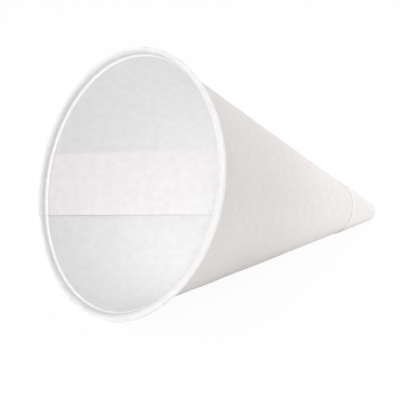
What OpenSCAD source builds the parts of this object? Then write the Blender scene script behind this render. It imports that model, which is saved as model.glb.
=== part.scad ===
// Cone paper cup with a rolled rim, lying on its side as it comes to rest, with the mouth toward -X.
// One sheet is wound a full turn into a cone and laps over itself. The sheet's inner edge runs straight
// down the inside of the wall. Its outer edge is a straight cut beside the lap that curves in to go round
// the tip, so the tip is two layers thick. The mouth is curled outward and the tip is a rounded nose.
// Sizes are in millimetres, and the cup rests on z = 0.

/* [Cup] */
// Outside diameter over the rolled rim
mouth_d = 70; // [60:1:90]
// Height along the axis, from the end of the nose to the top of the rim
cup_h = 91.5; // [75:0.5:125]
// Thickness of the paper
paper_t = 0.25; // [0.18:0.01:0.35]

/* [Rolled rim] */
// Outside diameter of the roll
roll_d = 2.2; // [2:0.1:4]
// Gap between the end of the curl and the wall
curl_gap = 0.4; // [0.2:0.05:0.6]
// Straight hem below the roll
hem_h = 0.5; // [0.3:0.1:3]
// Room on each side of the two layers of the lap inside the hem
hem_ease = 0.05; // [0.03:0.01:0.1]

/* [Seam] */
// Width of the lap at the mouth
lap_mouth = 16; // [8:0.5:24]
// Width of the lap at the tip, if its straight cut ran on to there
lap_tip = 22; // [12:0.5:26]
// Slant distance from the cone's apex to the lap's edge where it goes round the tip
tip_wrap = 20.5; // [17:0.5:24]
// Angle about the axis from the line that the cup rests on, up the far wall, to the sheet's inner edge
seam_turn = 57; // [30:1:150]
// Angle about the axis that the lap goes round the tip, from the sheet's inner edge
wrap_turn = 280; // [220:1:300]

/* [Nose] */
// Radius of the rounded nose
nose_r = 3; // [1.8:0.1:3.6]
// Depth to which the sheet is bedded in the nose and in the hem
bed = 0.3; // [0.2:0.05:0.4]

/* [Rest] */
// Depth of the flat spot that the cup's weight presses in the soft rim
rim_flat = 0.5; // [0.2:0.05:0.5]
// Depth of the flat spot under the nose
nose_flat = 0.2; // [0.05:0.01:0.3]

/* [Hidden] */
$fn = 120;

// Sizes of faces that meet are held to a micron, so that they meet exactly
function held(size) = round(size * 1000) / 1000;

// Roll: centre of its section, and the thickness of the double hem that is curled into it
roll_r = roll_d / 2;
roll_x = mouth_d / 2 - roll_r;
roll_z = cup_h - roll_r;
hem_t = 2 * (paper_t + hem_ease);

// Nose: its centre lies on the axis, and it is as thick as the wall, the lap and one layer of shoulder
nose_layers = 3;
nose_to_roll = roll_z - nose_r;

// Wall: its inner face passes the centres of the nose and of the roll at these distances
nose_in = nose_r - nose_layers * paper_t;
roll_in = roll_r - hem_ease;
centre_line = norm([roll_x, nose_to_roll]);
half_angle = acos((nose_in + roll_in) / centre_line) - atan2(nose_to_roll, roll_x);
apex_z = nose_r - nose_in / sin(half_angle);
nose_z = held(nose_r * (1 - sin(half_angle)));
hem_z = held(roll_z - roll_r - hem_h);
foot_z = nose_z - bed;
head_z = hem_z + bed;
half_layer = held(paper_t / cos(half_angle) / 2);
layer = 2 * half_layer;
function wall_r(z) = held((z - apex_z) * tan(half_angle));

// Lap: on the flat sheet its cut is a straight line, which leaves the inner edge by this slope from the tip,
// and between these turns its edge curves from the cut into a ring round the tip
foot_reach = (foot_z - apex_z) / cos(half_angle);
mouth_reach = (cup_h - apex_z) / cos(half_angle);
lap_slope = (lap_mouth - lap_tip) / mouth_reach;
farthest = 1.3 * mouth_reach;
ring_from = 60;
ring_full = 130;
cut_step = 4;
cut_room = 0.3;

// Rest: heights of the roll's and the nose's centres over the ground, lean of the axis, and ends of the length
roll_rest = roll_r - rim_flat;
nose_rest = nose_r - nose_flat;
lean = atan2(roll_x, nose_to_roll) + asin((roll_rest - nose_rest) / centre_line);
mouth_end = -roll_z * cos(lean) - roll_x * sin(lean) - roll_r;
nose_end = nose_r * (1 - cos(lean));

// Share that eases from 0 to 1 over a range of turns
function eased(turn, from, full) =
    let (share = min(max((turn - from) / (full - from), 0), 1))
    share * share * (3 - 2 * share);

// Slant distance from the apex to the lap's straight cut, at a turn about the axis from the inner edge
function cut_reach(turn) =
    let (flat = turn * sin(half_angle))
    lap_tip / max(sin(flat) - lap_slope * cos(flat), lap_tip / farthest);

// The same to the lap's edge: along the cut, then round the tip
function edge_reach(turn) =
    let (share = eased(turn, ring_from, ring_full))
    cut_reach(turn) * (1 - share) + tip_wrap * share;

// Point at a turn about the axis and a slant distance from the apex, moved out from the wall's inner face
function by_wall(turn, reach, out) =
    let (r = reach * sin(half_angle) + out * cos(half_angle))
    let (z = apex_z + reach * cos(half_angle) - out * sin(half_angle))
    [r * cos(turn), r * sin(turn), z];

// Section of the wall between two radial distances from its inner face
module layer_section(inside, outside)
    polygon([
        [wall_r(foot_z) + inside, foot_z],
        [wall_r(foot_z) + outside, foot_z],
        [wall_r(head_z) + outside, head_z],
        [wall_r(head_z) + inside, head_z]
    ]);

// Layer wound from the inner edge: its second half turn has its axis half a layer further out,
// so that a full turn ends one layer outside its start
module wound_layer(inside, outside, turn) {
    rotate_extrude(angle = 180)
        layer_section(inside, outside);
    translate([half_layer, 0, 0])
        rotate_extrude(angle = turn - 180, start = 180)
            translate([half_layer, 0])
                layer_section(inside, outside);
}

// Band along the wall that ends at the lap's edge
module lap_band() {
    count = ceil(wrap_turn / cut_step) + 2;
    outer = nose_layers * paper_t + cut_room;
    points = [
        for (i = [0 : count])
            let (turn = (i - 1) * cut_step)
            each [
                by_wall(turn, foot_reach - cut_room, -cut_room),
                by_wall(turn, foot_reach - cut_room, outer),
                by_wall(turn, edge_reach(turn), outer),
                by_wall(turn, edge_reach(turn), -cut_room)
            ]
    ];
    sides = [
        for (i = [0 : count - 1], k = [0 : 3])
            let (a = 4 * i + k)
            let (b = 4 * i + (k + 1) % 4)
            each [[a, b, b + 4], [a, b + 4, a + 4]]
    ];
    polyhedron(points, concat(sides, [[3, 2, 1, 0], [for (k = [0 : 3]) 4 * count + k]]));
}

// The sheet: one turn of wall, and the lap over it
module sheet() {
    wound_layer(0, layer, 360);
    intersection() {
        wound_layer(half_layer, 2 * layer, wrap_turn);
        lap_band();
    }
}

// Mouth curled outward into a roll with an open inside
module rolled_rim() {
    rotate_extrude()
        difference() {
            translate([roll_x, roll_z])
                rotate(-half_angle) {
                    difference() {
                        circle(roll_r);
                        circle(roll_r - hem_t);
                        translate([-roll_d, -roll_d])
                            square([roll_r + hem_t + curl_gap, roll_d]);
                    }
                    translate([-roll_r, -roll_d - hem_h])
                        square([hem_t, roll_d + hem_h]);
                }
            square([mouth_d, hem_z]);
        }
}

// Tip pressed into a rounded nose
module nose() {
    rotate_extrude()
        intersection() {
            translate([0, nose_r])
                circle(nose_r);
            square([nose_r, nose_z]);
        }
}

// Lays a cup that is drawn upright on its nose on its side
module lying() {
    translate([-(mouth_end + nose_end) / 2, 0, nose_rest - nose_r * sin(lean)])
        rotate([0, lean - 90, 0])
            children();
}

module cone_cup() {
    color("whitesmoke")
        difference() {
            lying() {
                rotate([0, 0, 180 - seam_turn])
                    mirror([0, 1, 0])
                        sheet();
                rolled_rim();
                nose();
            }
            translate([-cup_h, -mouth_d, -mouth_d])
                cube([2 * cup_h, 2 * mouth_d, mouth_d]);
        }
}

cone_cup();
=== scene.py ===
"""Cone paper cup: one wound sheet with a curled rim and a pressed nose, in a plain pale studio."""

import math

import bpy
from mathutils import Matrix, Vector, noise


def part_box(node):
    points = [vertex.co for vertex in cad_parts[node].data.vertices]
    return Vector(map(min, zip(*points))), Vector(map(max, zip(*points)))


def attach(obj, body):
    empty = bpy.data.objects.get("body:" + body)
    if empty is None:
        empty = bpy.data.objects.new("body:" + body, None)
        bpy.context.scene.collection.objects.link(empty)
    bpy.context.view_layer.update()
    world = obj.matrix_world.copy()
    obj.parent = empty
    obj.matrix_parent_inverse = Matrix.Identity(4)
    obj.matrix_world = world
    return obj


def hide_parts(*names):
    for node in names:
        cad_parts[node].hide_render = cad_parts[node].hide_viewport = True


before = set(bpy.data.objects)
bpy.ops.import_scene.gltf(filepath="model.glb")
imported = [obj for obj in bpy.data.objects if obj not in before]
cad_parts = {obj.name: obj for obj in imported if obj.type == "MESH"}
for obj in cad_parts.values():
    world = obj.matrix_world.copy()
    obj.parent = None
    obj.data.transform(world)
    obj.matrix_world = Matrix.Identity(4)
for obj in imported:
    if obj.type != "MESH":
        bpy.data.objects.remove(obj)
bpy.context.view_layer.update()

bl_info = {
    "name": "Cone Paper Cup",
    "version": (1, 0, 0),
    "blender": (4, 5, 0),
    "location": "3D View > Sidebar > Paper Cup",
    "description": "Winds a cone cup from one sheet of paper and sets it in a plain studio",
    "category": "Add Mesh",
}

CUP_NODE = "cone_cup"
BODY = "root"
MM = 0.001

CUP_LOW, CUP_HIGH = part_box(CUP_NODE)
MOUTH_D = round(CUP_HIGH.y - CUP_LOW.y, 4)


# Properties


class PaperCupSizes(bpy.types.PropertyGroup):
    """Sizes of the cup as in the solid part, and of the soft forms that only its paper has"""

    mouth_d: bpy.props.FloatProperty(
        name="Mouth", description="Outside diameter over the rolled rim",
        default=MOUTH_D, unit="LENGTH", precision=4)
    cup_h: bpy.props.FloatProperty(
        name="Height", description="Height along the axis, from the end of the nose to the top of the rim",
        default=91.5 * MM, unit="LENGTH", precision=4)
    paper_t: bpy.props.FloatProperty(
        name="Paper", description="Thickness of the paper",
        default=0.25 * MM, unit="LENGTH", precision=5)
    layer_gap: bpy.props.FloatProperty(
        name="Layer gap", description="Air between the two layers of the lap",
        default=0.02 * MM, unit="LENGTH", precision=5)
    roll_d: bpy.props.FloatProperty(
        name="Roll", description="Outside diameter of the rolled rim",
        default=2.2 * MM, unit="LENGTH", precision=4)
    roll_ease: bpy.props.FloatProperty(
        name="Roll ease", description="How far the roll swells past the wall that it starts from",
        default=0.05 * MM, unit="LENGTH", precision=5)
    roll_tuck: bpy.props.FloatProperty(
        name="Roll tuck", description="How far the end of the curl is tucked in under the rim",
        default=0.35 * MM, unit="LENGTH", precision=5)
    crest_h: bpy.props.FloatProperty(
        name="Crest", description="Height of the crease where the wall turns into the roll",
        default=0.2 * MM, unit="LENGTH", precision=5)
    lap_mouth: bpy.props.FloatProperty(
        name="Lap at mouth", description="Width of the lap at the mouth",
        default=16 * MM, unit="LENGTH", precision=4)
    lap_tip: bpy.props.FloatProperty(
        name="Lap at tip", description="Width of the lap at the tip, if its straight cut ran on to there",
        default=22 * MM, unit="LENGTH", precision=4)
    tip_wrap: bpy.props.FloatProperty(
        name="Tip wrap",
        description="Slant distance from the apex to the lap's edge where it goes round the tip",
        default=20.5 * MM, unit="LENGTH", precision=4)
    seam_turn: bpy.props.FloatProperty(
        name="Seam turn",
        description="Angle from the resting line, up the far wall, to the sheet's inner edge",
        default=math.radians(57), subtype="ANGLE")
    wrap_turn: bpy.props.FloatProperty(
        name="Wrap turn", description="Angle that the lap goes round the tip, from the sheet's inner edge",
        default=math.radians(280), subtype="ANGLE")
    nose_r: bpy.props.FloatProperty(
        name="Nose", description="Radius of the rounded nose",
        default=3 * MM, unit="LENGTH", precision=4)
    nose_press: bpy.props.FloatProperty(
        name="Nose press", description="How far the soft nose is pressed in round its end",
        default=0.28 * MM, unit="LENGTH", precision=5)
    bed: bpy.props.FloatProperty(
        name="Bed", description="Depth to which the sheet is bedded in the nose",
        default=0.3 * MM, unit="LENGTH", precision=5)
    rim_flat: bpy.props.FloatProperty(
        name="Rim flat", description="Depth of the flat spot that the cup's weight presses in the rim",
        default=0.5 * MM, unit="LENGTH", precision=5)
    nose_flat: bpy.props.FloatProperty(
        name="Nose flat", description="Depth of the flat spot under the nose",
        default=0.2 * MM, unit="LENGTH", precision=5)
    oval_across: bpy.props.FloatProperty(
        name="Ovalness", description="Share by which the soft mouth is narrower from side to side",
        default=0.0121, precision=4)
    oval_skew: bpy.props.FloatProperty(
        name="Skew", description="Share by which the soft mouth is drawn out along a slant",
        default=-0.0216, precision=4)
    bulge: bpy.props.FloatProperty(
        name="Bulge", description="How far the soft rim bulges out on its near side",
        default=1.1 * MM, unit="LENGTH", precision=5)
    roll_press: bpy.props.FloatProperty(
        name="Roll press", description="How far the soft roll is pressed flat against the wall at its top",
        default=0.65 * MM, unit="LENGTH", precision=5)
    twist: bpy.props.FloatProperty(
        name="Twist", description="Angle by which the soft wall is twisted about the axis at the mouth",
        default=math.radians(1), subtype="ANGLE")
    sway: bpy.props.FloatProperty(
        name="Sway", description="Height of the slow waves in the wall",
        default=0.1 * MM, unit="LENGTH", precision=5)
    inner_lift: bpy.props.FloatProperty(
        name="Inner edge lift", description="How far the sheet's inner edge stands off the wall",
        default=0.12 * MM, unit="LENGTH", precision=5)
    wrap_lift: bpy.props.FloatProperty(
        name="Wrap lift", description="How far the lap stands off the wall at its edge round the tip",
        default=0.15 * MM, unit="LENGTH", precision=5)


class PaperCupFinish(bpy.types.PropertyGroup):
    """Colours and texture of the paper, among them a painted shade, painted highlights and a painted glow
    """

    inside_tone: bpy.props.FloatVectorProperty(
        name="Inside", description="Colour of a single layer of paper, on the inside of the cup",
        default=(0.76, 0.76, 0.76), subtype="COLOR", min=0, max=1)
    outside_tone: bpy.props.FloatVectorProperty(
        name="Outside", description="Colour of a single layer of paper, on the outside of the cup",
        default=(0.77, 0.742, 0.73), subtype="COLOR", min=0, max=1)
    # Painted shade: a darker colour in the crease where the roll starts, standing in for the shade that
    # falls there
    painted_crease_shade: bpy.props.FloatVectorProperty(
        name="Rim crease",
        description="Colour of the paper in the shaded crease where the wall turns into the roll",
        default=(0.66, 0.66, 0.66), subtype="COLOR", min=0, max=1)
    double_tone: bpy.props.FloatVectorProperty(
        name="Two layers",
        description="Colour of the paper where a second layer backs it, on the inside of the cup",
        default=(0.85, 0.82, 0.83), subtype="COLOR", min=0, max=1)
    lap_tone: bpy.props.FloatVectorProperty(
        name="Lap", description="Colour of the lap, on the outside of the cup",
        default=(0.865, 0.822, 0.808), subtype="COLOR", min=0, max=1)
    # Painted light: paler colours toward the tip, inside and outside, stand in for the light that the deep,
    # closing wall gathers
    inside_painted_glow: bpy.props.FloatVectorProperty(
        name="Deep", description="Colour of the paper toward the tip, on the inside of the cup",
        default=(0.97, 0.962, 0.962), subtype="COLOR", min=0, max=1)
    outside_painted_glow: bpy.props.FloatVectorProperty(
        name="Tip", description="Colour of the paper toward the tip, on the outside of the cup",
        default=(0.985, 0.935, 0.925), subtype="COLOR", min=0, max=1)
    painted_glow_share: bpy.props.FloatProperty(
        name="Deep share", description="Share of the deep colour toward the tip", default=0.6, min=0, max=1)
    # Painted highlight: a paler colour along the crest, the lap's edge and the roll's outer side, where
    # light catches them
    painted_highlight_tone: bpy.props.FloatVectorProperty(
        name="Fold",
        description="Colour of the fibres along the crest, the lap's edge and the roll's outer side",
        default=(0.99, 0.962, 0.952), subtype="COLOR", min=0, max=1)
    cloud: bpy.props.FloatProperty(
        name="Cloud", description="Strength of the cloudy formation of the fibres",
        default=0.09, min=0, max=1)
    tooth: bpy.props.FloatProperty(
        name="Tooth", description="Depth of the paper's fine surface grain",
        default=0.02 * MM, unit="LENGTH", precision=6)
    roughness: bpy.props.FloatProperty(
        name="Roughness", description="Roughness of the paper", default=0.82, min=0, max=1)
    seep: bpy.props.FloatProperty(
        name="Seep", description="Distance that light seeps through the thin paper",
        default=0.08 * MM, unit="LENGTH", precision=5)


class PaperCupStudio(bpy.types.PropertyGroup):
    """View and light"""

    azimuth: bpy.props.FloatProperty(
        name="Azimuth", description="Angle of the view about the vertical",
        default=math.radians(-38.59), subtype="ANGLE")
    elevation: bpy.props.FloatProperty(
        name="Elevation", description="Angle of the view above the ground",
        default=math.radians(23.05), subtype="ANGLE")
    distance: bpy.props.FloatProperty(
        name="Distance", description="Distance from the camera to the point that it aims at",
        default=0.5, unit="LENGTH")
    view_angle: bpy.props.FloatProperty(
        name="View angle", description="Angle that the picture takes in",
        default=math.radians(11.785), subtype="ANGLE")
    aim: bpy.props.FloatVectorProperty(
        name="Aim", description="Point that the camera aims at",
        default=(-12.92 * MM, 0, 21.86 * MM), subtype="TRANSLATION")
    floor_tone: bpy.props.FloatVectorProperty(
        name="Floor", description="Colour of the floor",
        default=(0.95, 0.95, 0.95), subtype="COLOR", min=0, max=1)
    floor_show: bpy.props.FloatProperty(
        name="Plain floor", description="Share of the floor's look that is plain white, without shade",
        default=0.95, min=0, max=1)
    fill: bpy.props.FloatProperty(
        name="Fill", description="Strength of the even light from all around", default=0.045, min=0)


# Form of the cup

# Layers of paper between the wall's inner face and the outside of the nose
NOSE_LAYERS = 3

# Turn at which the sheet starts to rise over its own inner edge
RIDE_TURN = math.radians(270)

# Angles round the roll: its end, the end of its swelling and the start of its tuck
CURL_TURN = math.radians(305)
SWELL_TURN = math.radians(60)
TUCK_TURN = math.radians(190)

# Turns between which the lap's edge curves from its straight cut into a ring round the tip
RING_FROM = math.radians(60)
RING_FULL = math.radians(130)

# Lap round the tip: reach of its lift, turn over which that fades at its end, and bevel of its edge
WRAP_FADE = 9 * MM
WRAP_END = math.radians(25)
EDGE_BEVEL = 1.3 * MM
EDGE_LEFT = 0.55

# Soft spots of the rim: where it bulges and how fast that fades toward the tip,
# where the roll is pressed, and the reach of both
BULGE_ANGLE = math.radians(282)
BULGE_POWER = 6
PRESS_ANGLE = math.radians(345)
SPOT_HALF = math.radians(38)


def smooth(share):
    """Eases a share from 0 to 1, and holds it there outside that range."""
    share = min(max(share, 0.0), 1.0)
    return share * share * (3 - 2 * share)


def soft_spot(angle, middle):
    """1 in the middle of a soft spot of the rim, and 0 away from it."""
    return math.exp(-((math.remainder(angle - middle, math.tau) / SPOT_HALF) ** 2))


class CupForm:
    """The cup upright on its nose, worked out from its sizes, and its place when it lies on the ground."""

    def __init__(self, sizes):
        self.sizes = sizes
        self.layer = sizes.paper_t + sizes.layer_gap
        self.roll_r = sizes.roll_d / 2
        self.roll_x = sizes.mouth_d / 2 - self.roll_r
        self.roll_z = sizes.cup_h - self.roll_r
        self.roll_in = self.roll_r - sizes.roll_ease
        nose_in = sizes.nose_r - NOSE_LAYERS * sizes.paper_t
        nose_to_roll = self.roll_z - sizes.nose_r
        centre_line = math.hypot(self.roll_x, nose_to_roll)
        line_angle = math.atan2(nose_to_roll, self.roll_x)
        self.half_angle = math.acos((nose_in + self.roll_in) / centre_line) - line_angle
        self.sin = math.sin(self.half_angle)
        self.cos = math.cos(self.half_angle)
        self.apex_z = sizes.nose_r - nose_in / self.sin
        self.nose_z = sizes.nose_r * (1 - self.sin)
        self.foot = (self.nose_z - sizes.bed - self.apex_z) / self.cos
        self.neck = self.roll_x * self.sin + (self.roll_z - self.apex_z) * self.cos
        self.brim = self.neck + CURL_TURN * self.roll_r
        self.lap_slope = (sizes.lap_mouth - sizes.lap_tip) * self.cos / (sizes.cup_h - self.apex_z)
        self.seam_angle = math.pi - sizes.seam_turn
        self.last_turn = math.tau + sizes.wrap_turn
        self.place = self.lying(nose_to_roll, centre_line)

    def lying(self, nose_to_roll, centre_line):
        """Turns the upright cup onto its side, with the roll and the nose on the ground."""
        sizes = self.sizes
        nose_rest = sizes.nose_r - sizes.nose_flat
        roll_rest = self.roll_r - sizes.rim_flat
        lean = math.atan2(self.roll_x, nose_to_roll) + math.asin((roll_rest - nose_rest) / centre_line)
        mouth_end = -self.roll_z * math.cos(lean) - self.roll_x * math.sin(lean) - self.roll_r
        nose_end = sizes.nose_r * (1 - math.cos(lean))
        shift = Vector((-(mouth_end + nose_end) / 2, 0, nose_rest - sizes.nose_r * math.sin(lean)))
        return Matrix.Translation(shift) @ Matrix.Rotation(lean - math.pi / 2, 4, "Y")

    def ringed(self, lap):
        """Share by which the lap's edge has curved from its straight cut into a ring round the tip."""
        return smooth((lap - RING_FROM) / (RING_FULL - RING_FROM))

    def edge_reach(self, lap):
        """Slant distance from the apex to the lap's edge, at a turn from the sheet's inner edge."""
        sizes = self.sizes
        across = math.sin(lap * self.sin) - self.lap_slope * math.cos(lap * self.sin)
        cut = sizes.lap_tip / max(across, sizes.lap_tip / self.brim)
        return cut + (sizes.tip_wrap - cut) * self.ringed(lap)

    def edge_room(self, lap, along):
        """Distance on the flat sheet from a point of the lap to its edge, below 0 past the edge."""
        flat = lap * self.sin
        across = self.sizes.lap_tip + self.lap_slope * along * math.cos(flat) - along * math.sin(flat)
        return min(across / math.hypot(1, self.lap_slope), self.edge_reach(lap) - along)

    def sheet_top(self, turn):
        """How far the sheet reaches from the apex: to the end of the curl, or to the lap's edge."""
        return self.brim if turn <= math.tau else self.edge_reach(turn - math.tau)

    def thickness(self, turn, along):
        """Thickness of the sheet. Round the tip the lap swells toward its edge and ends in a bevel."""
        sizes = self.sizes
        lap = turn - math.tau
        if lap <= RING_FROM:
            return sizes.paper_t
        room = max(self.edge_room(lap, along), 0)
        loose = sizes.paper_t + sizes.wrap_lift * (1 - smooth(room / WRAP_FADE))
        share = self.ringed(lap) * smooth((self.last_turn - turn) / WRAP_END)
        bevel = EDGE_LEFT + (1 - EDGE_LEFT) * min(room / EDGE_BEVEL, 1)
        return sizes.paper_t + (loose * bevel - sizes.paper_t) * share

    def lay(self, turn):
        """Distance of the sheet's inner face from the first layer's. It grows by a layer once a turn."""
        full, part = divmod(turn, math.tau)
        return self.layer * (full + smooth((part - RIDE_TURN) / (math.tau - RIDE_TURN)))

    def section(self, turn, along, out):
        """Radius and height of a point of the sheet, out from its inner face."""
        out += self.lay(turn)
        if along <= self.neck:
            radius = along * self.sin + out * self.cos
            height = self.apex_z + along * self.cos - out * self.sin
            return radius, height
        curl = (along - self.neck) / self.roll_r
        swell = self.sizes.roll_ease * smooth(curl / SWELL_TURN)
        tuck = self.sizes.roll_tuck * smooth((curl - TUCK_TURN) / (CURL_TURN - TUCK_TURN))
        reach = self.roll_in + swell - tuck - out
        angle = math.pi - self.half_angle - curl
        pressed = soft_spot(self.seam_angle - turn, PRESS_ANGLE)
        press = self.sizes.roll_press * pressed * (1 - math.cos(curl)) / 2
        radius = self.roll_x + reach * math.cos(angle) - press * self.cos
        return radius, self.roll_z + reach * math.sin(angle) + press * self.sin

    def oval(self, angle, height):
        """Share by which the soft wall is wider or narrower than round."""
        sizes = self.sizes
        skew = sizes.oval_across * (math.cos(2 * angle) - 1) + sizes.oval_skew * math.sin(2 * angle)
        level = max(height, 0) / self.roll_z
        bulge = sizes.bulge / self.roll_x * soft_spot(angle, BULGE_ANGLE)
        return 1 + skew * level + bulge * level ** BULGE_POWER

    def at(self, angle, radius, height):
        """Point of the lying cup."""
        angle -= self.sizes.twist * max(height, 0) / self.roll_z
        radius *= self.oval(angle, height)
        return self.place @ Vector((radius * math.cos(angle), radius * math.sin(angle), height))


# Wound sheet

# Rows up the wall and round the curl, and columns, closer where the lap's edge nears the mouth
WALL_ROWS = 60
CURL_ROWS = 40
TURN_STEP = math.radians(2)
LAP_END_STEP = math.radians(0.5)
LAP_END_FROM = math.radians(24)
LAP_END_TO = math.radians(44)

# Crest: its distance below the start of the roll, its half width, and the room for its rows
CREST_BACK = 1.0 * MM
CREST_HALF = 0.36 * MM
CREST_ROOM = 5 * CREST_HALF

# Slow waves of the wall: length, stretch along it, and distances from its ends where they are full
SWAY_LENGTH = 17 * MM
SWAY_STRETCH = 1.7
SWAY_FOOT = 12 * MM
SWAY_NECK = 9 * MM

# Lifted inner edge: width, ripples along it, and distances from the wall's ends where it is full
INNER_WIDTH = 2.5 * MM
RIPPLE_LENGTH = 7 * MM
RIPPLE_PLACE = (0.3, 0.7)
RIPPLE_MEAN = 0.7
RIPPLE_SWING = 1.6
RIPPLE_LEAST = 0.1
LIFT_FOOT = 15 * MM
LIFT_NECK = 5 * MM

# Marks that the finish reads: softness of the lap's border, shares of the wall where the painted glow
# toward the tip starts and fades in, angles round the roll of its painted crease shade and of the painted
# highlight on its outer side, and spread of the painted highlights.
# The folds, crease and depth marks carry the painted highlight, the painted shade and the painted glow.
MARKS = ("layers", "folds", "outside", "crease", "depth")
LAP_SOFT = 0.9 * MM
PAINTED_GLOW_INSIDE = 1.0
PAINTED_GLOW_OUTSIDE = 0.75
PAINTED_GLOW_SPAN = 0.5
CREASE_FROM = math.radians(-35)
CREASE_FULL = math.radians(5)
CREASE_HOLD = math.radians(45)
CREASE_TO = math.radians(130)
ROLL_HIGHLIGHT_FROM = math.radians(95)
ROLL_HIGHLIGHT_FULL = math.radians(140)
ROLL_HIGHLIGHT_SHARE = 0.7
HIGHLIGHT_SPREAD = 1.3

# Distance between the sheet's two faces in the flat pattern, so that their fibres differ
FACE_GAP = 7 * MM


def sheet_turns(form):
    """Turns at which the sheet has a column of points, closer where the lap's edge nears the mouth."""
    turns = []
    turn = 0.0
    while turn < form.last_turn - TURN_STEP / 2:
        turns.append(turn)
        near_end = LAP_END_FROM <= turn % math.tau < LAP_END_TO
        turn += LAP_END_STEP if near_end else TURN_STEP
    return turns + [form.last_turn]


def sheet_rows(form):
    """Distances from the apex along the sheet: up the wall, over the crest and along the curl."""
    crest = form.neck - CREST_ROOM
    wall = [form.foot + (crest - form.foot) * i / WALL_ROWS for i in range(WALL_ROWS)]
    fine = (form.brim - crest) / CURL_ROWS
    return wall + [crest + fine * i for i in range(CURL_ROWS + 1)]


def sheet_relief(form, turn, along):
    """Distance by which the paper stands out from its plain form: waves, crest and lifted inner edge."""
    sizes = form.sizes
    angle = form.seam_angle - turn
    spot = Vector((along * math.cos(angle), along * math.sin(angle), SWAY_STRETCH * along)) / SWAY_LENGTH
    free = smooth((along - form.foot) / SWAY_FOOT) * smooth((form.neck - along) / SWAY_NECK)
    relief = sizes.sway * free * noise.noise(spot)
    relief -= sizes.crest_h * math.exp(-(((along - form.neck + CREST_BACK) / CREST_HALF) ** 2))
    inner_room = along * math.sin(min(turn * form.sin, math.pi / 2))
    if inner_room < INNER_WIDTH:
        wave = noise.noise(Vector((along / RIPPLE_LENGTH, *RIPPLE_PLACE)))
        ripple = max(RIPPLE_MEAN + RIPPLE_SWING * wave, RIPPLE_LEAST)
        free = smooth((form.neck - along) / LIFT_NECK) * smooth((along - form.foot) / LIFT_FOOT)
        relief -= sizes.inner_lift * ripple * free * (1 - inner_room / INNER_WIDTH) ** 2
    return relief


def backed(form, turn, along, face):
    """1 where a second layer of paper backs this face of the sheet, and 0 where none does."""
    if along > form.neck:
        return 1.0
    if face:
        return smooth((turn - math.tau) * along * form.sin / LAP_SOFT)
    return smooth(0.5 + form.edge_room(turn, along) / LAP_SOFT) if turn < form.sizes.wrap_turn else 0.0


def painted_glow_weight(form, along, face):
    """Share of painted light toward the tip, a paler colour for the light that the closing wall gathers
    from its other side.
    """
    start = PAINTED_GLOW_OUTSIDE if face else PAINTED_GLOW_INSIDE
    return smooth((start - along / form.neck) / PAINTED_GLOW_SPAN)


def painted_highlight_share(form, turn, along, face):
    """Share of painted highlight: 1 on the crest and on the lap's bevelled edge, and part of that on the
    roll's outer side.
    """
    lap = turn - math.tau
    if lap > RING_FROM:
        return form.ringed(lap) * (1 - smooth(form.edge_room(lap, along) / (HIGHLIGHT_SPREAD * EDGE_BEVEL)))
    if face:
        return 0.0
    roll_highlight = smooth(((along - form.neck) / form.roll_r - ROLL_HIGHLIGHT_FROM) / (ROLL_HIGHLIGHT_FULL - ROLL_HIGHLIGHT_FROM))
    crest = math.exp(-(((along - form.neck + CREST_BACK) / (HIGHLIGHT_SPREAD * CREST_HALF)) ** 2))
    return max(crest, ROLL_HIGHLIGHT_SHARE * roll_highlight)


def painted_shade_share(form, along):
    """Share of painted shade: 1 in the crease at the start of the roll, and 0 away from it."""
    curl = (along - form.neck) / form.roll_r
    rising = smooth((curl - CREASE_FROM) / (CREASE_FULL - CREASE_FROM))
    falling = (CREASE_TO - curl) / (CREASE_TO - CREASE_HOLD)
    return rising * min(max(falling, 0.0), 1.0)


def wound_sheet(form):
    """The sheet as a closed thin slab: points, faces and what the finish needs to know at each point."""
    turns = sheet_turns(form)
    rows = sheet_rows(form)
    points, flats = [], []
    marks = {name: [] for name in MARKS}
    for turn in turns:
        angle = form.seam_angle - turn
        flat = turn * form.sin
        share = (form.sheet_top(turn) - form.foot) / (form.brim - form.foot)
        for row in rows:
            along = form.foot + (row - form.foot) * share
            relief = sheet_relief(form, turn, along)
            outs = (relief, relief + form.thickness(turn, along))
            pair = [form.at(angle, *form.section(turn, along, out)) for out in outs]
            press = max(0.0, -min(point.z for point in pair))
            for face, point in enumerate(pair):
                points.append(point + Vector((0, 0, press)))
                marks["layers"].append(backed(form, turn, along, face))
                # folds, crease and depth carry the painted highlight, the painted shade and the painted
                # glow
                marks["folds"].append(painted_highlight_share(form, turn, along, face))
                marks["outside"].append(float(face))
                marks["crease"].append(painted_shade_share(form, along))
                marks["depth"].append(painted_glow_weight(form, along, face))
                flats.append((along * math.cos(flat), along * math.sin(flat), face * FACE_GAP))
    faces = slab_faces(len(turns), len(rows))
    return points, faces, marks | {"flat_place": flats}


def slab_faces(columns, rows):
    """Faces of a slab whose points run face by face, then row by row, then column by column."""

    def at(column, row, face):
        return 2 * (column * rows + row) + face

    faces = []
    for c in range(columns - 1):
        for r in range(rows - 1):
            faces.append((at(c, r, 1), at(c, r + 1, 1), at(c + 1, r + 1, 1), at(c + 1, r, 1)))
            faces.append((at(c, r, 0), at(c + 1, r, 0), at(c + 1, r + 1, 0), at(c, r + 1, 0)))
        top = rows - 1
        faces.append((at(c, top, 0), at(c + 1, top, 0), at(c + 1, top, 1), at(c, top, 1)))
        faces.append((at(c, 0, 0), at(c, 0, 1), at(c + 1, 0, 1), at(c + 1, 0, 0)))
    end = columns - 1
    for r in range(rows - 1):
        faces.append((at(0, r, 0), at(0, r + 1, 0), at(0, r + 1, 1), at(0, r, 1)))
        faces.append((at(end, r, 0), at(end, r, 1), at(end, r + 1, 1), at(end, r + 1, 0)))
    return faces


# Pressed nose

NOSE_COLUMNS = 72
NOSE_ROWS = 22

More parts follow.
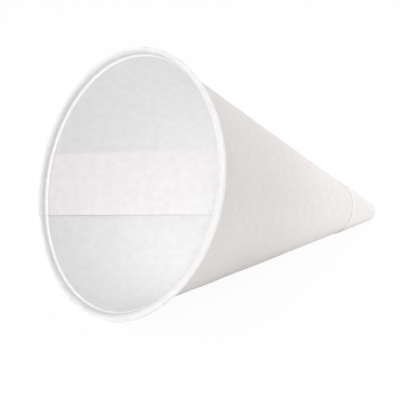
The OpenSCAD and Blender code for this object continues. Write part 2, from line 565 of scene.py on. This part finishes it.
# Pleats: how many, how deep, their uneven spacing, their slant in radians per metre, and where they fade
PLEATS = 7
PLEAT_DEPTH = 0.05 * MM
PLEAT_SWAY = 0.9
PLEAT_SLANT = 250
PLEAT_FADE = 1.5 * MM

# Soft shoulder round the nose, and the shallow lid that closes it inside the cup
SHOULDER_R = 0.18 * MM
SHOULDER_ROWS = 6
SHOULDER_RISE = 0.8
LID_RISE = 0.1 * MM
LID_SHARES = (0.75, 0.5, 0.25)

# What the finish reads all over the nose; its depth gives it part of the painted glow
NOSE_MARKS = {"layers": 0.8, "folds": 0.0, "outside": 1.0, "crease": 0.0, "depth": 0.35}


def nose_profile(form):
    """Radius and height along the nose: up the round end, over a soft shoulder and in to the axis."""
    nose_r = form.sizes.nose_r - form.sizes.nose_press
    nose_z = nose_r * (1 - form.sin)
    ring = []
    for i in range(1, NOSE_ROWS + 1):
        angle = -math.pi / 2 + (math.pi / 2 - form.half_angle) * i / NOSE_ROWS
        ring.append((nose_r * math.cos(angle), nose_r + nose_r * math.sin(angle)))
    edge_r = ring[-1][0]
    for i in range(1, SHOULDER_ROWS + 1):
        angle = math.pi / 2 * i / SHOULDER_ROWS
        radius = edge_r - SHOULDER_R * (1 - math.cos(angle))
        ring.append((radius, nose_z + SHOULDER_R * math.sin(angle) * SHOULDER_RISE))
    for share in LID_SHARES:
        ring.append((edge_r * share, nose_z + LID_RISE * share))
    return ring


def pressed_nose(form):
    """The nose as a closed solid with faint pleats where the sheet's tip is gathered."""
    ring = nose_profile(form)
    points = [form.at(0, 0, 0)]
    for radius, height in ring:
        for i in range(NOSE_COLUMNS):
            angle = math.tau * i / NOSE_COLUMNS
            pleat = math.sin(PLEATS * angle + PLEAT_SWAY * math.sin(2 * angle) + PLEAT_SLANT * height)
            depth = PLEAT_DEPTH * (0.5 + 0.5 * pleat) * smooth(radius / PLEAT_FADE)
            points.append(form.at(angle, radius - depth, height))
    points.append(form.at(0, 0, ring[-1][1]))
    points = [Vector((p.x, p.y, max(p.z, 0.0))) for p in points]
    faces = []
    last = len(points) - 1
    for i in range(NOSE_COLUMNS):
        j = (i + 1) % NOSE_COLUMNS
        faces.append((0, 1 + j, 1 + i))
        for r in range(len(ring) - 1):
            low = 1 + r * NOSE_COLUMNS
            faces.append((low + i, low + j, low + NOSE_COLUMNS + j, low + NOSE_COLUMNS + i))
        top = 1 + (len(ring) - 1) * NOSE_COLUMNS
        faces.append((top + i, top + j, last))
    flats = [tuple(p) for p in points]
    marks = {name: [share] * len(points) for name, share in NOSE_MARKS.items()}
    return points, faces, marks | {"flat_place": flats}


# Meshes and stage helpers

EDGE_ANGLE = math.radians(50)


def add_piece(name, points, faces, marks, material):
    """Links a smooth-shaded mesh with its finish and the marks that the finish reads."""
    mesh = bpy.data.meshes.new(name)
    mesh.from_pydata([tuple(p) for p in points], [], faces)
    for mark, values in marks.items():
        if isinstance(values[0], tuple):
            layer = mesh.attributes.new(mark, "FLOAT_VECTOR", "POINT")
            layer.data.foreach_set("vector", [number for value in values for number in value])
        else:
            layer = mesh.attributes.new(mark, "FLOAT", "POINT")
            layer.data.foreach_set("value", values)
    mesh.polygons.foreach_set("use_smooth", [True] * len(mesh.polygons))
    mesh.update()
    mesh.validate()
    mesh.set_sharp_from_angle(angle=EDGE_ANGLE)
    mesh.materials.append(material)
    piece = bpy.data.objects.new(name, mesh)
    bpy.context.scene.collection.objects.link(piece)
    return piece


def looking(position, aim):
    """Placement at a position that faces an aim point."""
    turn = (Vector(aim) - Vector(position)).to_track_quat("-Z", "Y")
    return Matrix.Translation(position) @ turn.to_matrix().to_4x4()


def around(aim, azimuth, elevation, distance):
    """Point at a distance from an aim point, in the direction of an azimuth and an elevation."""
    level = math.cos(elevation)
    back = Vector((math.sin(azimuth) * level, -math.cos(azimuth) * level, math.sin(elevation)))
    return Vector(aim) + distance * back


# Node expressions

# Sockets of a Mix node that mixes colours
MIX_SHARE = 0
MIX_FIRST = 6
MIX_SECOND = 7
MIX_RESULT = 2


class Wire:
    """A value in a node tree. Arithmetic on it adds Math nodes."""

    def __init__(self, bench, socket):
        self.bench = bench
        self.socket = socket

    def __add__(self, other):
        return self.bench.math("ADD", self, other)

    def __radd__(self, other):
        return self.bench.math("ADD", other, self)

    def __sub__(self, other):
        return self.bench.math("SUBTRACT", self, other)

    def __rsub__(self, other):
        return self.bench.math("SUBTRACT", other, self)

    def __mul__(self, other):
        return self.bench.math("MULTIPLY", self, other)

    def __rmul__(self, other):
        return self.bench.math("MULTIPLY", other, self)


class NodeBench:
    """Builds the nodes of one tree."""

    def __init__(self, tree):
        self.tree = tree
        tree.nodes.clear()

    def add(self, kind, settings=None, sockets=None, out=0):
        """Adds a node, sets it up, fills or links its sockets, and returns one of its outputs."""
        node = self.tree.nodes.new(kind)
        for name, value in (settings or {}).items():
            setattr(node, name, value)
        for key, value in (sockets or {}).items():
            if isinstance(value, Wire):
                self.tree.links.new(value.socket, node.inputs[key])
            else:
                node.inputs[key].default_value = value
        return Wire(self, node.outputs[out]) if len(node.outputs) else None

    def math(self, operation, first, second):
        """Adds a Math node on two values."""
        return self.add("ShaderNodeMath", {"operation": operation}, {0: first, 1: second})

    def blend(self, share, first, second, kind="MIX"):
        """Mixes two colours."""
        settings = {"data_type": "RGBA", "blend_type": kind, "clamp_factor": True}
        sockets = {MIX_SHARE: share, MIX_FIRST: first, MIX_SECOND: second}
        return self.add("ShaderNodeMix", settings, sockets, out=MIX_RESULT)


def solid_colour(tone):
    """A colour with full alpha."""
    return (*tone, 1.0)


# Finishes

PAPER_NAME = "white_cup_paper"
WHITE = (1.0, 1.0, 1.0, 1.0)

# Noise in the paper: cloudy formation, fine fibres, and strands that are drawn out one way
CLOUDS = {"Scale": 420.0, "Detail": 5.0, "Roughness": 0.62}
FIBRES = {"Scale": 2600.0, "Detail": 3.0, "Roughness": 0.7}
STRANDS = {"Scale": 1.0, "Detail": 2.0}
STRAND_SCALE = (900.0, 5200.0, 3000.0)
NOISE_MIDDLE = 0.5

# Weight of the clouds in the colour, weights of all three in the grain, and spread of the roughness
CLOUD_SHADE = 2
CLOUD_GRAIN = 0.35
FIBRE_GRAIN = 0.4
STRAND_GRAIN = 0.25
ROUGH_SPREAD = 0.12
SPECULAR = 0.3

# Rays to which the floor and the room look plain white
PLAIN_RAYS = ("Is Camera Ray", "Is Glossy Ray", "Is Transmission Ray")


def paper_finish(finish):
    """Uncoated white paper with cloudy fibres and a fine tooth, paler where it is doubled, with painted
    shade in the rim's crease, painted highlights on the crest, the lap's edge and the roll's outer side,
    and painted light toward the tip.
    """
    material = bpy.data.materials.new(PAPER_NAME)
    material.use_nodes = True
    bench = NodeBench(material.node_tree)
    place = bench.add("ShaderNodeAttribute", {"attribute_name": "flat_place"}, out="Vector")
    # folds, crease and depth read the painted highlight, the painted shade and the painted glow
    layers, folds, outside, crease, depth = (
        bench.add("ShaderNodeAttribute", {"attribute_name": name}, out="Fac") for name in MARKS)
    clouds = bench.add("ShaderNodeTexNoise", None, {"Vector": place} | CLOUDS)
    fibres = bench.add("ShaderNodeTexNoise", None, {"Vector": place} | FIBRES)
    drawn_out = bench.add("ShaderNodeMapping", None, {"Vector": place, "Scale": STRAND_SCALE})
    strands = bench.add("ShaderNodeTexNoise", None, {"Vector": drawn_out} | STRANDS)
    single = bench.blend(outside, solid_colour(finish.inside_tone), solid_colour(finish.outside_tone))
    double = bench.blend(outside, solid_colour(finish.double_tone), solid_colour(finish.lap_tone))
    tone = bench.blend(layers, single, double)
    # Painted glow: paler toward the tip, standing in for light gathered deep in the cone
    deep = bench.blend(outside, solid_colour(finish.inside_painted_glow), solid_colour(finish.outside_painted_glow))
    tone = bench.blend(depth * finish.painted_glow_share, tone, deep)
    # Painted shade in the crease at the start of the roll
    tone = bench.blend(crease, tone, solid_colour(finish.painted_crease_shade))
    # Painted highlights on the crest, the lap's edge and the roll's outer side
    tone = bench.blend(folds, tone, solid_colour(finish.painted_highlight_tone))
    shade = (clouds - NOISE_MIDDLE) * (CLOUD_SHADE * finish.cloud)
    shade = shade + (fibres - NOISE_MIDDLE) * finish.cloud + (strands - NOISE_MIDDLE) * finish.cloud
    light = shade + 1.0
    mottle = bench.add("ShaderNodeCombineColor", None, {0: light, 1: light, 2: light})
    tone = bench.blend(1.0, tone, mottle, "MULTIPLY")
    grain = clouds * CLOUD_GRAIN + fibres * FIBRE_GRAIN + strands * STRAND_GRAIN
    bump = bench.add("ShaderNodeBump", None, {"Strength": 1.0, "Distance": finish.tooth, "Height": grain})
    rough = finish.roughness + (fibres - NOISE_MIDDLE) * ROUGH_SPREAD
    skin = bench.add("ShaderNodeBsdfPrincipled", None, {
        "Base Color": tone, "Roughness": rough, "Normal": bump, "Specular IOR Level": SPECULAR,
        "Subsurface Weight": 1.0, "Subsurface Radius": (1.0, 1.0, 1.0), "Subsurface Scale": finish.seep})
    bench.add("ShaderNodeOutputMaterial", None, {"Surface": skin})
    return material


def floor_finish(studio):
    """Pale floor that shows plain white to the camera and keeps part of its shade."""
    material = bpy.data.materials.new("pale_floor")
    material.use_nodes = True
    bench = NodeBench(material.node_tree)
    matte = bench.add("ShaderNodeBsdfDiffuse", None, {"Color": solid_colour(studio.floor_tone)})
    plain = bench.add("ShaderNodeEmission", None, {"Color": WHITE, "Strength": 1.0})
    seen = plain_rays(bench)
    surface = bench.add("ShaderNodeMixShader", None, {0: seen * studio.floor_show, 1: matte, 2: plain})
    bench.add("ShaderNodeOutputMaterial", None, {"Surface": surface})
    return material


def white_world(studio):
    """Even fill light that looks plain white."""
    world = bpy.data.worlds.new("white_room")
    world.use_nodes = True
    bench = NodeBench(world.node_tree)
    fill = bench.add("ShaderNodeBackground", None, {"Color": WHITE, "Strength": studio.fill})
    plain = bench.add("ShaderNodeBackground", None, {"Color": WHITE, "Strength": 1.0})
    seen = plain_rays(bench)
    both = bench.add("ShaderNodeMixShader", None, {0: seen, 1: fill, 2: plain})
    bench.add("ShaderNodeOutputWorld", None, {"Surface": both})
    return world


def plain_rays(bench):
    """1 for any kind of ray to which the floor and the room look plain white."""
    rays = [bench.add("ShaderNodeLightPath", None, out=kind) for kind in PLAIN_RAYS]
    seen = rays[0]
    for ray in rays[1:]:
        seen = bench.math("MAXIMUM", seen, ray)
    return seen


# Operators


class PAPERCUP_OT_wound_sheet(bpy.types.Operator):
    """Winds the sheet into a cone with a lap, and curls its mouth outward"""

    bl_idname = "paper_cup.wound_sheet"
    bl_label = "Wound Sheet"

    def execute(self, context):
        scene = context.scene
        form = CupForm(scene.paper_cup_sizes)
        points, faces, marks = wound_sheet(form)
        sheet = add_piece("wound_sheet", points, faces, marks, paper_finish(scene.paper_cup_finish))
        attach(sheet, BODY)
        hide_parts(CUP_NODE)
        return {"FINISHED"}


class PAPERCUP_OT_pressed_nose(bpy.types.Operator):
    """Presses the tip of the sheet into a rounded nose"""

    bl_idname = "paper_cup.pressed_nose"
    bl_label = "Pressed Nose"

    def execute(self, context):
        form = CupForm(context.scene.paper_cup_sizes)
        points, faces, marks = pressed_nose(form)
        paper = bpy.data.materials.get(PAPER_NAME)
        if paper is None:
            raise RuntimeError("Wind the sheet before the nose is pressed, because they share one paper")
        nose = add_piece("pressed_nose", points, faces, marks, paper)
        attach(nose, BODY)
        return {"FINISHED"}


FLOOR_HALF = 3.0
CLIP_START = 0.01

# Name, azimuth and elevation in degrees, distance and size in metres, and watts of each lamp
LAMPS = (
    ("left_soft", -130, 26, 0.9, 0.8, 1.65),
    ("mouth_soft", -62, 22, 0.9, 0.8, 5.1),
    ("mouth_high", -90, 58, 0.9, 0.8, 3.3),
    ("right_soft", 55, 12, 0.35, 0.42, 0.88),
    ("back_top", 125, 45, 0.9, 0.8, 2.95),
)


class PAPERCUP_OT_studio(bpy.types.Operator):
    """Adds the pale floor, the soft lamps, the white room and the camera"""

    bl_idname = "paper_cup.studio"
    bl_label = "Studio"

    def execute(self, context):
        scene = context.scene
        studio = scene.paper_cup_studio
        self.add_floor(studio)
        for lamp in LAMPS:
            self.add_lamp(studio, *lamp)
        self.add_camera(scene, studio)
        scene.world = white_world(studio)
        scene.view_settings.view_transform = "Standard"
        return {"FINISHED"}

    def add_floor(self, studio):
        mesh = bpy.data.meshes.new("pale_floor")
        corners = [(x * FLOOR_HALF, y * FLOOR_HALF, 0) for x, y in ((-1, -1), (1, -1), (1, 1), (-1, 1))]
        mesh.from_pydata(corners, [], [(0, 1, 2, 3)])
        mesh.materials.append(floor_finish(studio))
        floor = bpy.data.objects.new("pale_floor", mesh)
        bpy.context.scene.collection.objects.link(floor)

    def add_lamp(self, studio, name, azimuth, elevation, distance, size, watts):
        light = bpy.data.lights.new(name, "AREA")
        light.shape = "DISK"
        light.size = size
        light.energy = watts
        lamp = bpy.data.objects.new(name, light)
        position = around(studio.aim, math.radians(azimuth), math.radians(elevation), distance)
        lamp.matrix_world = looking(position, studio.aim)
        bpy.context.scene.collection.objects.link(lamp)

    def add_camera(self, scene, studio):
        data = bpy.data.cameras.new("photo_view")
        data.sensor_fit = "HORIZONTAL"
        data.angle = studio.view_angle
        data.clip_start = CLIP_START
        camera = bpy.data.objects.new("photo_view", data)
        position = around(studio.aim, studio.azimuth, studio.elevation, studio.distance)
        camera.matrix_world = looking(position, studio.aim)
        scene.collection.objects.link(camera)
        scene.camera = camera


class PAPERCUP_PT_panel(bpy.types.Panel):
    """Sizes, finish and studio of the cone paper cup"""

    bl_idname = "PAPERCUP_PT_panel"
    bl_label = "Cone Paper Cup"
    bl_space_type = "VIEW_3D"
    bl_region_type = "UI"
    bl_category = "Paper Cup"

    def draw(self, context):
        scene = context.scene
        for group, operators in (
            (scene.paper_cup_sizes, (PAPERCUP_OT_wound_sheet, PAPERCUP_OT_pressed_nose)),
            (scene.paper_cup_finish, ()),
            (scene.paper_cup_studio, (PAPERCUP_OT_studio,)),
        ):
            box = self.layout.box()
            for name in group.__annotations__:
                box.prop(group, name)
            for operator in operators:
                box.operator(operator.bl_idname)


CLASSES = (
    PaperCupSizes,
    PaperCupFinish,
    PaperCupStudio,
    PAPERCUP_OT_wound_sheet,
    PAPERCUP_OT_pressed_nose,
    PAPERCUP_OT_studio,
    PAPERCUP_PT_panel,
)


def register():
    for cls in CLASSES:
        bpy.utils.register_class(cls)
    bpy.types.Scene.paper_cup_sizes = bpy.props.PointerProperty(type=PaperCupSizes)
    bpy.types.Scene.paper_cup_finish = bpy.props.PointerProperty(type=PaperCupFinish)
    bpy.types.Scene.paper_cup_studio = bpy.props.PointerProperty(type=PaperCupStudio)


def unregister():
    del bpy.types.Scene.paper_cup_studio
    del bpy.types.Scene.paper_cup_finish
    del bpy.types.Scene.paper_cup_sizes
    for cls in reversed(CLASSES):
        bpy.utils.unregister_class(cls)


def main():
    register()
    bpy.ops.paper_cup.wound_sheet()
    bpy.ops.paper_cup.pressed_nose()
    bpy.ops.paper_cup.studio()


if __name__ == "__main__":
    main()
